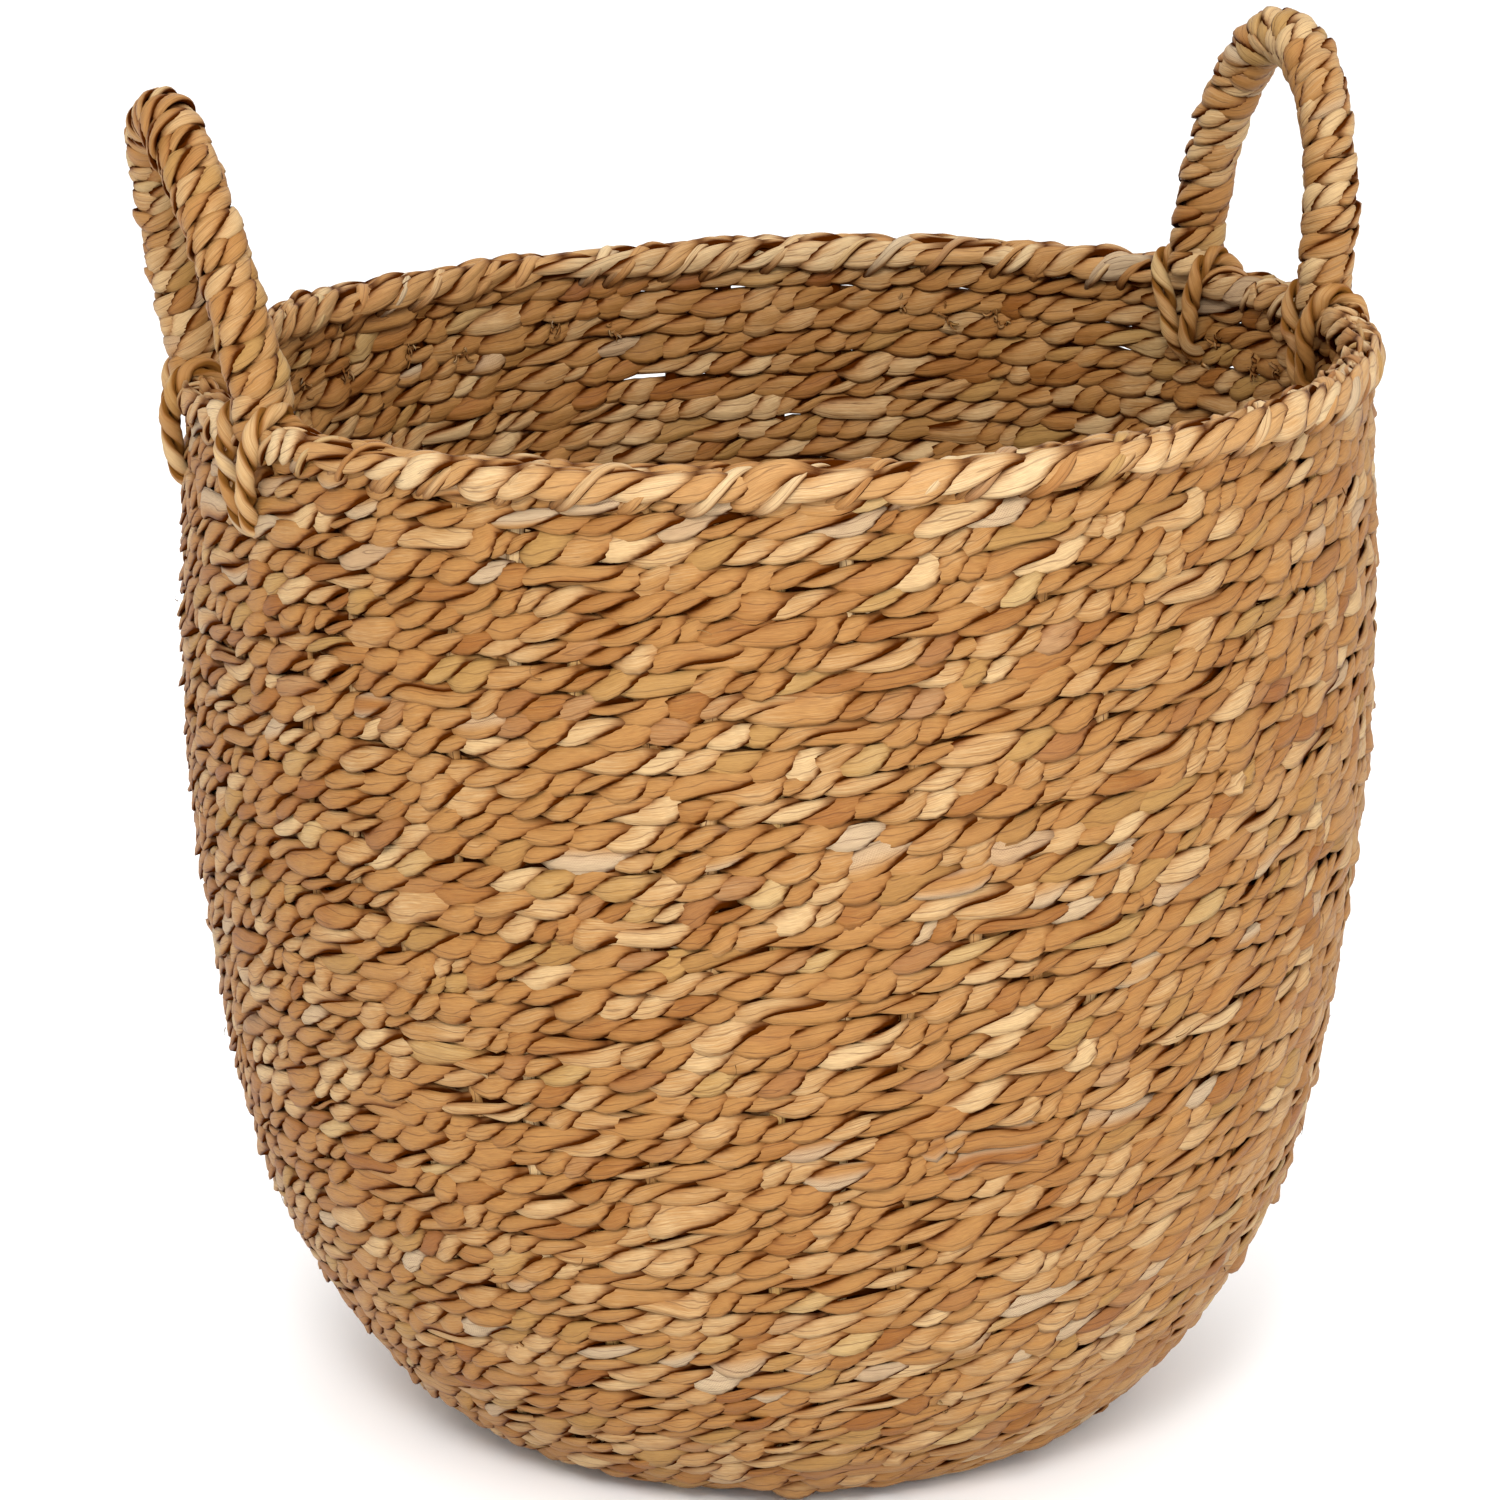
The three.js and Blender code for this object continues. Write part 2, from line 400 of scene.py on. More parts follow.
def across(path: Array, guide: Array) -> tuple[Array, Array]:
    """Gives two directions across a path.

    Args:
        path: Its points, one row each.
        guide: The way the first direction leans, for the whole path or at each point.

    Returns:
        The first direction at each point, and the one square to it and to the path.
    """
    run = unit(np.gradient(path, axis=0))
    first = unit(guide - (guide * run).sum(1, keepdims=True) * run)
    return first, np.cross(first, run)


def curve(knots: Array, count: int) -> Array:
    """Draws a smooth line through knots.

    Args:
        knots: The points it passes, one row each.
        count: The number of points returned.

    Returns:
        Points along the line.
    """
    knots = np.asarray(knots, float)
    padded = np.concatenate([knots[:1], knots, knots[-1:]])
    spots = np.linspace(0, len(knots) - 1, count)
    start = np.minimum(spots.astype(int), len(knots) - 2)
    share = (spots - start)[:, None]
    before, first, second, after = (padded[start + k] for k in range(4))
    pull_in, pull_out = (second - before) / 2, (after - first) / 2
    return (
        (2 * share ** 3 - 3 * share ** 2 + 1) * first + (share ** 3 - 2 * share ** 2 + share) * pull_in
        + (3 * share ** 2 - 2 * share ** 3) * second + (share ** 3 - share ** 2) * pull_out)


def ripple(place: Array, size: float, rng: Rng) -> Array:
    """Makes a smooth random wave with one random value per unit of place.

    Args:
        place: Where the wave is read, rising along the array.
        size: The spread of its values.
        rng: The source of random numbers.

    Returns:
        The wave.
    """
    knots = np.arange(math.floor(place.min()) - 1, math.ceil(place.max()) + 3)
    values = rng.normal(0, size, len(knots))
    start = np.clip((place - knots[0]).astype(int), 0, len(knots) - 2)
    share = place - knots[start]
    share = share * share * (3 - 2 * share)
    return values[start] * (1 - share) + values[start + 1] * share


# ---- strands


@dataclass
class Strand:
    """One bundle of seagrass, swept along its middle line.

    Where a value may change along the bundle, it has a row for each point, or one that stands for all.

    Attributes:
        middle: Points of the middle line, one row each, in metres.
        side: The direction of the flat bundle's width.
        away: The direction in which the bundle faces the open.
        width: The bundle's width, in metres.
        thickness: Its thickness, in metres.
        looks: Tone from dark to light and the three tints, from 0 to 1.
        seed: The bundle's own number.
        crease: 0 where the bundle dives under another, 1 where it lies open; the finish paints shade where it
            is low.
        turn: How far its fibres have turned round the bundle, in radians.
        flute: Depth of the folds down its face, as a share of the thickness.
    """

    middle: Array
    side: Array
    away: Array
    width: Array | float
    thickness: Array | float
    looks: Array
    seed: float
    crease: Array | float = 1.0
    turn: Array | float = 0.0
    flute: float = 0.16

    def __post_init__(self) -> None:
        """Gives every point its own row of each value."""
        count = len(self.middle)
        self.side, self.away = (np.broadcast_to(way, (count, 3)) for way in (self.side, self.away))
        self.looks = np.broadcast_to(self.looks, (count, 4))
        self.width, self.thickness, self.crease, self.turn = (
            np.broadcast_to(value, count) for value in (self.width, self.thickness, self.crease, self.turn))

    def skin(self, corners: int) -> tuple[Array, Array]:
        """Works out the bundle's surface.

        Args:
            corners: Points round its section.

        Returns:
            The points as rows of sections, and how far each point faces the open.
        """
        side, back = across(self.middle, self.side)
        angle = np.arange(corners) * 2 * math.pi / corners + math.pi / corners
        place = angle + self.turn[:, None]
        fold = (1 - self.flute * self._groove(place, 40, 0.3)
                - 0.6 * self.flute * self._groove(place, 90, 0.25))
        wide = np.cos(place) * self.width[:, None] / 2 * (0.6 + 0.4 * fold)
        high = np.sin(place) * self.thickness[:, None] / 2 * fold
        offset = wide[..., None] * side[:, None] - high[..., None] * back[:, None]
        facing = (np.cos(place) * (side * self.away).sum(1, keepdims=True)
                  - np.sin(place) * (back * self.away).sum(1, keepdims=True))
        return self.middle[:, None] + offset, facing

    def _groove(self, place: Array, spin: float, breadth: float) -> Array:
        """Gives the depth of a fold that lies at a place drawn from the seed."""
        return np.exp(-(np.sin((place - self.seed * spin) / 2) / breadth) ** 2)


class FibreMesh:
    """Gathers strands into one mesh that carries the attributes of the finish."""

    SEED_SHIFT = 7.0
    SEED_SPREAD = 50.0

    def __init__(self) -> None:
        """Starts with no strands."""
        self.points: list[Array] = []
        self.quads: list[Array] = []
        self.caps: list[Array] = []
        self.looks: dict[str, list[Array]] = {"strand": [], "stitch": [], "tint": []}
        self.count = 0

    def add(self, strand: Strand, corners: int = 8) -> None:
        """Adds a strand with closed ends.

        Args:
            strand: The strand.
            corners: Points round its section.
        """
        skin, facing = strand.skin(corners)
        rows = len(skin)
        index = self.count + np.arange(rows * corners).reshape(rows, corners)
        ahead = np.roll(index, -1, axis=1)
        quads = np.stack([index[:-1], ahead[:-1], ahead[1:], index[1:]], axis=-1)
        self.quads.append(quads.reshape(-1, 4))
        self.caps += [index[0][::-1], index[-1]]
        self.points.append(skin.reshape(-1, 3))
        along = lengths(strand.middle) + self.SEED_SHIFT * strand.seed
        round_section = np.abs(np.arange(corners) * 2 / corners - 1)
        seeds = np.full(rows * corners, strand.seed * self.SEED_SPREAD)
        tone, *tints = np.repeat(strand.looks, corners, axis=0).T
        # The stitch attribute carries the tone, and the crease and facing that drive the painted shade.
        for key, columns in (
                ("strand", (np.repeat(along, corners), np.tile(round_section, rows), seeds)),
                ("stitch", (tone, np.repeat(strand.crease, corners), facing.ravel())),
                ("tint", tints)):
            self.looks[key].append(np.stack(columns, 1))
        self.count += rows * corners

    def build(self, name: str, finish: Material) -> Object:
        """Makes the Blender object.

        Args:
            name: The piece's name.
            finish: Its material.

        Returns:
            The object.
        """
        points = np.concatenate(self.points)
        quads = np.concatenate(self.quads)
        corners = np.concatenate([quads.ravel(), *self.caps])
        totals = np.concatenate([np.full(len(quads), 4), [len(cap) for cap in self.caps]])
        starts = np.concatenate([[0], np.cumsum(totals)[:-1]])
        mesh = bpy.data.meshes.new(name)
        mesh.vertices.add(len(points))
        mesh.vertices.foreach_set("co", points.astype(np.float32).ravel())
        mesh.loops.add(len(corners))
        mesh.loops.foreach_set("vertex_index", corners.astype(np.int32))
        mesh.polygons.add(len(totals))
        mesh.polygons.foreach_set("loop_start", starts.astype(np.int32))
        mesh.polygons.foreach_set("use_smooth", np.ones(len(totals), bool))
        mesh.update(calc_edges=True)
        for key, values in self.looks.items():
            attribute = mesh.attributes.new(key, "FLOAT_VECTOR", "POINT")
            attribute.data.foreach_set("vector", np.concatenate(values).astype(np.float32).ravel())
        mesh.materials.append(finish)
        LOG.info("%s: %d points, %d faces", name, len(points), len(totals))
        return add_object(name, mesh)


def bundle_looks(count: int, rng: Rng, tint: float = 0.0) -> Array:
    """Draws the looks of each stitch of a strand, which change where a new bundle is laid in.

    Args:
        count: The number of stitches.
        rng: The source of random numbers.
        tint: A change of tone of the whole strand.

    Returns:
        The tone and the three tints, one row for each stitch.
    """
    renewal, middle_tone, bundle_spread, stitch_spread = 0.22, 0.52, 0.16, 0.1
    bundle = np.cumsum(rng.random(count) < renewal)
    draw = rng.random(bundle[-1] + 1)[bundle]
    tone = rng.normal(middle_tone + tint, bundle_spread, bundle[-1] + 1)[bundle]
    looks = np.zeros((count, 4))
    looks[:, 0] = tone + rng.normal(0, stitch_spread, count)
    start = 0.0
    for channel, share in (fibre.value for fibre in Fibre):
        chosen = (draw >= start) & (draw < start + share)
        looks[:, channel + 1] = chosen * rng.uniform(0.5, 1, count)
        start += share
    return np.clip(looks, 0, 1)


def along_stitches(values: Array, turned: Array) -> Array:
    """Spreads values of stitches along a strand, with a soft change from each stitch to the next.

    Args:
        values: One row for each stitch.
        turned: Half turns passed at each point, from 0 in the middle of the first stitch.

    Returns:
        One row for each point.
    """
    index = np.clip(np.floor(turned).astype(int), 0, len(values) - 1)
    share = np.clip((turned - index - 0.3) / 0.4, 0, 1)
    share = (share * share * (3 - 2 * share))[:, None]
    return values[index] * (1 - share) + values[np.minimum(index + 1, len(values) - 1)] * share


@dataclass(frozen=True)
class Lay:
    """How the strands of a twined or twisted cord lie; all sizes are in metres.

    Attributes:
        bulge: How far a strand swings out and in.
        rise: How far it swings up and down.
        open_width: Its width where it lies open.
        pinched_width: Its width where it dives.
        thickness: Its thickness.
        sag: How far the middle of a stitch hangs down.
        lap: How far, in stitches, the swing out lags the swing up, so each stitch laps over the next.
        slant: How far a flat strand's upper edge leans in, in radians.
        turning: 1 if a flat strand turns with the cord, 0 if it keeps facing outwards.
        plies: The number of strands.
        bundles: Bundles of leaf laid together in a strand.
        spread: How far the bundles lie from the strand's middle.
        uneven: How much the stitches differ.
        step_spread: How much the stitches differ in length, as a share of their length.
        stitch_spreads: How much they differ in size, as a share, in height and in bulge, in metres, in
            slant, in radians, and in rise, as a share.
    """

    bulge: float
    rise: float
    open_width: float
    pinched_width: float
    thickness: float
    sag: float = 0.0
    lap: float = 0.0
    slant: float = 0.0
    turning: float = 0.0
    plies: int = 2
    bundles: int = 1
    spread: float = 0.0
    uneven: float = 1.0
    step_spread: float = 0.14
    stitch_spreads: tuple[float, ...] = (0.17, 0.45 * MM, 0.25 * MM, 0.16, 0.22)

    def twine(
        self, mesh: FibreMesh, rng: Rng, middle: Array, outward: Array, up: Array, phase: Array,
        tint: float = 0.0,
    ) -> None:
        """Twines the strands along a line.

        Args:
            mesh: Where they go.
            rng: The source of random numbers.
            middle: Points of the line.
            outward: The outward direction at each point.
            up: The upward direction at each point.
            phase: Half turns passed at each point.
            tint: A change of tone of the whole cord.
        """
        phase = phase + ripple(phase, self.step_spread * self.uneven, rng)
        for ply, bundle in np.ndindex(self.plies, self.bundles):
            stagger = (2 * bundle - self.bundles + 1) / self.bundles / self.plies
            turned = phase + ply * 2 / self.plies + stagger
            place = turned - math.floor(turned[0])
            count = math.ceil(place[-1]) + 2
            swing = np.cos(math.pi * turned)
            height = np.sin(math.pi * turned)
            open_share = np.abs(swing) * (1 - self.turning) + self.turning
            drawn = self.uneven * rng.normal(0, 1, (count, 5)) * self.stitch_spreads
            size, shift, proud, tilt, steep = along_stitches(drawn, place).T
            lagged = np.cos(math.pi * (turned - self.lap))
            out = np.sign(lagged) * np.abs(lagged) ** (0.7 + 0.3 * self.turning) * (self.bulge + proud)
            spin = 2 * math.pi * bundle / self.bundles + 0.9 * turned + ripple(turned / 2, 0.7, rng)
            open_way = unit(swing[:, None] * outward + height[:, None] * up)
            level = self.rise * height * (1 + steep) - self.sag * swing ** 2 + shift * open_share
            centre = (middle + out[:, None] * outward + level[:, None] * up
                      + self.spread * np.cos(spin)[:, None] * up
                      + 0.4 * self.spread * np.sin(spin)[:, None] * open_way)
            roll = math.pi * turned * self.turning + (self.slant + tilt) * swing
            width = self.pinched_width + (self.open_width - self.pinched_width) * open_share ** 1.3
            mesh.add(Strand(
                middle=centre,
                side=np.cos(roll)[:, None] * up - np.sin(roll)[:, None] * outward,
                away=open_way,
                width=width * (1 + size),
                thickness=self.thickness,
                looks=along_stitches(bundle_looks(count, rng, tint), place),
                seed=float(rng.random()),
                # Painted shade where the strand dives under the next stitch.
                crease=np.clip(0.2 + open_share * 1.15, 0, 1),
                turn=0.5 * turned,
            ))


# ---- the body's form


@dataclass
class Body:
    """The form of the basket's wall, from the frame.

    Attributes:
        hinge_clearance: Height of the hinge lines above the border.
        wall_depth: Thickness of the wall.
        stakes: Upright stakes round it.
        corner: How far up the wall its turn from the base is spread.
        steps: Points used to follow the outline.
        outline: The outer face from the base's edge to the border, as shares of the largest radius
            and of the rim's height.
        left: A point of the left handle's hinge line.
        right: A point of the right handle's hinge line.
    """

    hinge_clearance: float = 7.5 * MM
    wall_depth: float = 8.8 * MM
    stakes: int = 60
    corner: float = 12 * MM
    steps: int = 400
    outline: tuple[tuple[float, float], ...] = (
        (0.508, 0.0), (0.604, 0.017), (0.726, 0.083), (0.850, 0.194),
        (0.929, 0.333), (0.985, 0.556), (1.0, 0.736), (0.98, 0.979),
    )
    left: Vector = field(default_factory=lambda: joint_place("handle_left_tilt"))
    right: Vector = field(default_factory=lambda: joint_place("handle_right_tilt"))

    def __post_init__(self) -> None:
        """Works out the sizes and the outline."""
        low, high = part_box("outer_weft_band_5")
        self.radius = (high.y - low.y) / 2 + 0.6 * MM
        self.rim_height = (self.left.z + self.right.z) / 2 - self.hinge_clearance
        self.lean = (self.right.z - self.left.z) / (self.right.x - self.left.x) / self.rim_height ** 2
        self.points = curve(np.array(self.outline) * (self.radius, self.rim_height), self.steps)
        self.slopes = unit(np.gradient(self.points, axis=0))
        self.reach = lengths(self.points)
        self.length = float(self.reach[-1])
        self.edge_radius = float(self.points[0, 0])
        self.top_radius, self.top = (float(value) for value in self.points[-1])
        self.rim_radius = self.top_radius - self.wall_depth / 2

    def outline_at(self, reach: Array) -> tuple[Array, Array, Array, Array]:
        """Gives the outline at distances up the wall from the base's edge.

        Args:
            reach: Distances in metres; below 0 they lie on the base, past the end above the wall.

        Returns:
            The radius, the height, and the radial and upward parts of the direction up the wall.
        """
        radius = np.interp(reach, self.reach, self.points[:, 0])
        height = np.interp(reach, self.reach, self.points[:, 1])
        out = np.interp(reach, self.reach, self.slopes[:, 0])
        up = np.interp(reach, self.reach, self.slopes[:, 1])
        under = reach < 0
        radius = np.where(under, self.edge_radius + reach, radius)
        over = np.maximum(reach - self.length, 0)
        blend = np.clip(1 + reach / self.corner, 0, 1)
        out = np.where(under, 1 - blend * (1 - self.slopes[0, 0]), out)
        up = np.where(under, blend * self.slopes[0, 1], up)
        return radius + over * out, height + over * up, out, up

    def place(self, angle: Array, reach: Array, depth: Array) -> Array:
        """Gives points of the wall at angles, distances up it and depths in from its outer face."""
        radius, height, out, up = self.outline_at(reach)
        return self.ring(angle, radius - up * depth, height + out * depth)

    def ring(self, angle: Array, radius: Array, height: Array) -> Array:
        """Gives points from angles, radii and heights on the even body, with the rim's lean."""
        x = radius * np.cos(angle)
        return np.stack([x, radius * np.sin(angle), height + self.lean * x * height ** 2], -1)

    def upward(self, angle: Array, reach: Array) -> Array:
        """Gives the direction up the wall at angles and distances up it."""
        _, _, out, up = self.outline_at(reach)
        return unit(np.stack([out * np.cos(angle), out * np.sin(angle), up], -1))

    def outward(self, angle: Array, reach: Array) -> Array:
        """Gives the direction straight out of the wall at angles and distances up it."""
        return np.cross(around(angle), self.upward(angle, reach))


def finish_piece(piece: Object, nodes: list[str]) -> None:
    """Hands a still piece of the basket to the frame.

    Args:
        piece: The piece.
        nodes: The CAD nodes it stands for.
    """
    if nodes:
        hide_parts(*nodes)
    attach(piece, "basket")


# ---- woven parts


@dataclass
class Part:
    """A sub-assembly of strands.

    Attributes:
        body: The form of the basket.
        rng: The source of random numbers.
        finish: The material of most of its pieces.
    """

    body: Body
    rng: Rng
    finish: Material


@dataclass
class Weave(Part):
    """The twined wall and base, and the stakes they hold.

    Attributes:
        stake_finish: The material of the stakes.
        lay: How the two strands of the weft lie.
        bands: Bands of the wall, as in the frame.
        courses: Courses in each band.
        stitch: Length of a stitch where the stakes stand close.
        samples: Points along each stitch.
        wander: How far a course strays up and down.
        stake_size: A stake's width and thickness.
        stake_step: Distance between the points of a stake.
        stake_starts: Where the stakes of a group start, as radii on the base.
        knot_radius: Radius of the crossed stakes in the middle of the base.
        knot_rows: Stakes in each of their two layers.
        knot_half: Half their length in the middle of a layer.
        knot_pitch: Distance between them.
        knot_size: Their width and thickness.
    """

    stake_finish: Material
    lay: Lay = Lay(
        2.3 * MM, 2.2 * MM, 7.8 * MM, 3.7 * MM, 2.2 * MM, sag=0.7 * MM, lap=0.08, slant=0.18, bundles=2,
        spread=0.3 * MM, uneven=1.35)
    bands: int = 7
    courses: int = 7
    stitch: float = 23 * MM
    samples: int = 8
    wander: float = 0.45 * MM
    stake_size: tuple[float, float] = (5.4 * MM, 2.6 * MM)
    stake_step: float = 7 * MM
    stake_starts: tuple[float, ...] = (62 * MM, 28 * MM, 62 * MM)
    knot_radius: float = 20 * MM
    knot_rows: int = 7
    knot_half: float = 30 * MM
    knot_pitch: float = 6 * MM
    knot_size: tuple[float, float] = (5.6 * MM, 3.4 * MM)

    def build(self) -> None:
        """Weaves the base, the wall and the stakes."""
        self._base()
        self._knot()
        phase = 0.0
        for band in range(self.bands):
            phase = self._band(band, phase)
        for group in range(self.body.stakes // len(self.stake_starts)):
            self._stakes(group)

    @property
    def pitch(self) -> float:
        """The height of a course."""
        return self.body.length / (self.bands * self.courses)

    def _stitches(self, reach: Array) -> Array:
        """Counts the stitches in a course at distances up the wall."""
        radius = self.body.outline_at(reach)[0]
        return np.minimum(2 * math.pi * radius / self.stitch, self.body.stakes)

    def _spiral(self, start: float, end: float, phase: float, tint: float) -> tuple[FibreMesh, float]:
        """Twines a spiral of courses between two distances up the wall.

        Args:
            start: Where it starts, in metres from the base's edge.
            end: Where it ends.
            phase: Stitches passed before it.
            tint: A change of tone.

        Returns:
            The mesh, and the stitches passed at its end.
        """
        rough = np.linspace(start, end, 4000)
        passed = np.concatenate([[0], np.cumsum(
            self._stitches((rough[1:] + rough[:-1]) / 2) * np.diff(rough) / self.pitch)])
        steps = np.linspace(0, passed[-1], int(passed[-1] * self.samples) + 1)
        reach = np.interp(steps, passed, rough)
        angle = reach / self.pitch * 2 * math.pi
        up, outward = self.body.upward(angle, reach), self.body.outward(angle, reach)
        wander = ripple(angle * 3.1, self.wander, self.rng)
        middle = self.body.place(angle, reach + wander, self.body.wall_depth / 2)
        mesh = FibreMesh()
        self.lay.twine(mesh, self.rng, middle, outward, up, steps + phase, tint)
        return mesh, phase + passed[-1]

    def _base(self) -> None:
        """Weaves the base."""
        mesh, _ = self._spiral(self.knot_radius - self.body.edge_radius, 0.0, 0.0, 0.0)
        finish_piece(mesh.build("base_weave", self.finish), ["base_mat_outer", "base_mat_inner"])

    def _knot(self) -> None:
        """Lays the crossed stakes that the base starts from, in two layers."""
        mesh = FibreMesh()
        for turn, height, away in ((0.0, 0.32, -UP), (math.pi / 2, 0.68, UP)):
            run, cross = around(turn - math.pi / 2), around(turn)
            for row in range(self.knot_rows):
                k = row - self.knot_rows // 2
                spots = np.linspace(-1, 1, 24)
                half = self.knot_half * math.cos(k / 6)
                lift = height + 0.12 * np.cos(spots * half / (5 * MM) * math.pi / 2 + k * math.pi)
                middle = (spots[:, None] * half * run + k * self.knot_pitch * cross
                          + (lift * self.body.wall_depth)[:, None] * UP)
                mesh.add(self._stake(middle, cross, away, self.knot_size))
        finish_piece(mesh.build("base_crossed_stakes", self.stake_finish), ["base_start_knot"])

    def _stake(self, middle: Array, side: Array, away: Array, size: tuple[float, float]) -> Strand:
        """Makes a stake's bundle of fibres.

        Args:
            middle: Its middle line.
            side: The direction of its width.
            away: The direction in which it faces the open.
            size: Its width and thickness.

        Returns:
            The strand.
        """
        swell = 1 + ripple(lengths(middle) / (14 * MM), 0.12, self.rng)
        return Strand(
            middle=middle, side=side, away=away, width=size[0] * swell, thickness=size[1],
            looks=bundle_looks(1, self.rng, 0.08), seed=float(self.rng.random()), flute=0.4)

    def _band(self, band: int, phase: float) -> float:
        """Weaves one band of the wall.

        Args:
            band: Its number from 0, from the bottom up.
            phase: Stitches passed below it.

        Returns:
            The stitches passed at its end.
        """
        height = self.body.length / self.bands
        mesh, phase = self._spiral(band * height, (band + 1) * height, phase, 0.03 * (1 - band / 6))
        piece = mesh.build(f"weft_{band + 1}", self.finish)
        finish_piece(piece, [f"outer_weft_band_{band + 1}", f"inner_weft_band_{band + 1}"])
        return phase

    def _stakes(self, group: int) -> None:
        """Stands a group of neighbouring stakes in the wall, from the base to the border.

        Args:
            group: Its number from 0.
        """
        mesh = FibreMesh()
        for k, start in enumerate(self.stake_starts):
            angle = (len(self.stake_starts) * group + k + 0.5) * 2 * math.pi / self.body.stakes
            reach = np.arange(start - self.body.edge_radius, self.body.length + 4 * MM, self.stake_step)
            angles = angle + ripple(reach / (40 * MM), 0.003, self.rng)
            middle = self.body.place(angles, reach, self.body.wall_depth / 2)
            mesh.add(self._stake(middle, around(angle), self.body.outward(angles, reach), self.stake_size))
        piece = mesh.build(f"stakes_{group + 1:02d}", self.stake_finish)
        finish_piece(piece, [f"stake_{group + 1:02d}"])


@dataclass
class Border(Part):
    """The border: two thick twined ropes, and the stake ends that climb over them and go down inside.

    Attributes:
        lay: How the two strands of a rope lie.
        rope_shifts: How far each rope lies out from the wall's middle.
        rope_drop: How far their middles lie below the rim.
        rope_stitches: Stitches of a rope round the rim.
        rope_steps: Points along a rope.
        span: How many stakes' spacing each stake end travels round the rim.
        width: A stake end's width.
        thickness: Its thickness.
        route: The strand's way through the rim's section, as (depth in from the outer face, height
            above the wall's top edge) in millimetres.
        tint: How much paler the border is than the wall.
    """

    lay: Lay = Lay(
        2.5 * MM, 2.8 * MM, 8.6 * MM, 3.6 * MM, 2.8 * MM, sag=0.5 * MM, lap=0.1, slant=0.15, bundles=2,
        spread=0.4 * MM, uneven=1.3)
    rope_shifts: tuple[tuple[str, float], ...] = (("outer", 2.6 * MM), ("inner", -2.6 * MM))
    rope_drop: float = 6.5 * MM
    rope_stitches: int = 46
    rope_steps: int = 901
    span: float = 1.8
    width: float = 5.2 * MM
    thickness: float = 3.2 * MM
    route: tuple[tuple[float, float], ...] = (
        (5.0, -8.5), (1.4, -6.5), (0.0, -3.4), (0.4, 0.0), (2.4, 2.6), (5.0, 3.4), (7.6, 2.2),
        (9.2, -0.8), (8.8, -4.2), (5.0, -8.5),
    )
    tint: float = 0.14

    def build(self) -> None:
        """Lays the two ropes and bends the stake ends over them."""
        for name, shift in self.rope_shifts:
            self._rope(name, shift)
        mesh = FibreMesh()
        for number in range(self.body.stakes):
            self._strand(mesh, number)
        finish_piece(mesh.build("border_plait", self.finish), [])

    def _rope(self, name: str, shift: float) -> None:
        """Lays a rope on the wall's top edge.

        Args:
            name: Which rope.
            shift: How far it lies out from the wall's middle.
        """
        angle = np.linspace(0, 2 * math.pi, self.rope_steps)
        height = np.full(self.rope_steps, self.body.rim_height - self.rope_drop)
        middle = self.body.ring(angle, self.body.rim_radius + shift, height)
        up = np.broadcast_to(UP, middle.shape)
        phase = np.linspace(0, self.rope_stitches, self.rope_steps)
        mesh = FibreMesh()
        self.lay.twine(mesh, self.rng, middle, np.cross(around(angle), up), up, phase, self.tint)
        finish_piece(mesh.build(f"border_filler_{name}", self.finish), [f"border_rope_{name}"])

    def _strand(self, mesh: FibreMesh, number: int) -> None:
        """Bends one stake end over the rim.

        Args:
            mesh: Where it goes.
            number: Its number round the rim.
        """
        count = 40
        section = curve(self.route, count) * MM + self.rng.normal(0, 0.4 * MM, 2)
        spacing = 2 * math.pi / self.body.stakes
        steps = np.linspace(0, 1, count)
        start = (number + self.rng.normal(0, 0.1)) * spacing
        angle = start + steps * self.span * spacing * self.rng.normal(1, 0.05)
        outer, top = self.body.top_radius, self.body.top
        middle = self.body.ring(angle, outer - section[:, 0], top + section[:, 1])
        away = unit(middle - self.body.ring(angle, outer - 4.2 * MM, np.full(count, top - 4 * MM)))
        side = np.cross(unit(np.gradient(middle, axis=0)), away)
        shape = np.sin(np.clip(steps * 1.06 - 0.03, 0, 1) * math.pi) ** 0.4
        wave = np.cos(2 * math.pi * (steps - 0.5))
        for bundle in range(2):
            spin = bundle * math.pi + self.rng.normal(0.2, 0.5) + steps * self.rng.normal(2.4, 0.6)
            shift = 2.1 * MM * np.cos(spin)[:, None] * side
            shift = shift + ((0.7 * np.sin(spin) + 0.9 * wave) * MM)[:, None] * away
            mesh.add(Strand(
                middle=middle + shape[:, None] * shift,
                side=side + 0.3 * np.cos(spin)[:, None] * away,
                away=away,
                width=self.width * (0.4 + 0.6 * shape) * (0.88 + 0.16 * wave) * self.rng.normal(1, 0.12),
                thickness=self.thickness * (0.6 + 0.4 * shape),
                looks=bundle_looks(1, self.rng, self.tint),
                seed=float(self.rng.random()),
                # Painted shade towards both ends, where the stake end goes into the rim.
                crease=np.clip(0.1 + shape, 0, 1) * (0.82 + 0.18 * wave),
                turn=self.rng.normal(0.6, 0.3) * steps * 3,
                flute=0.3,
            ))


# ---- handles


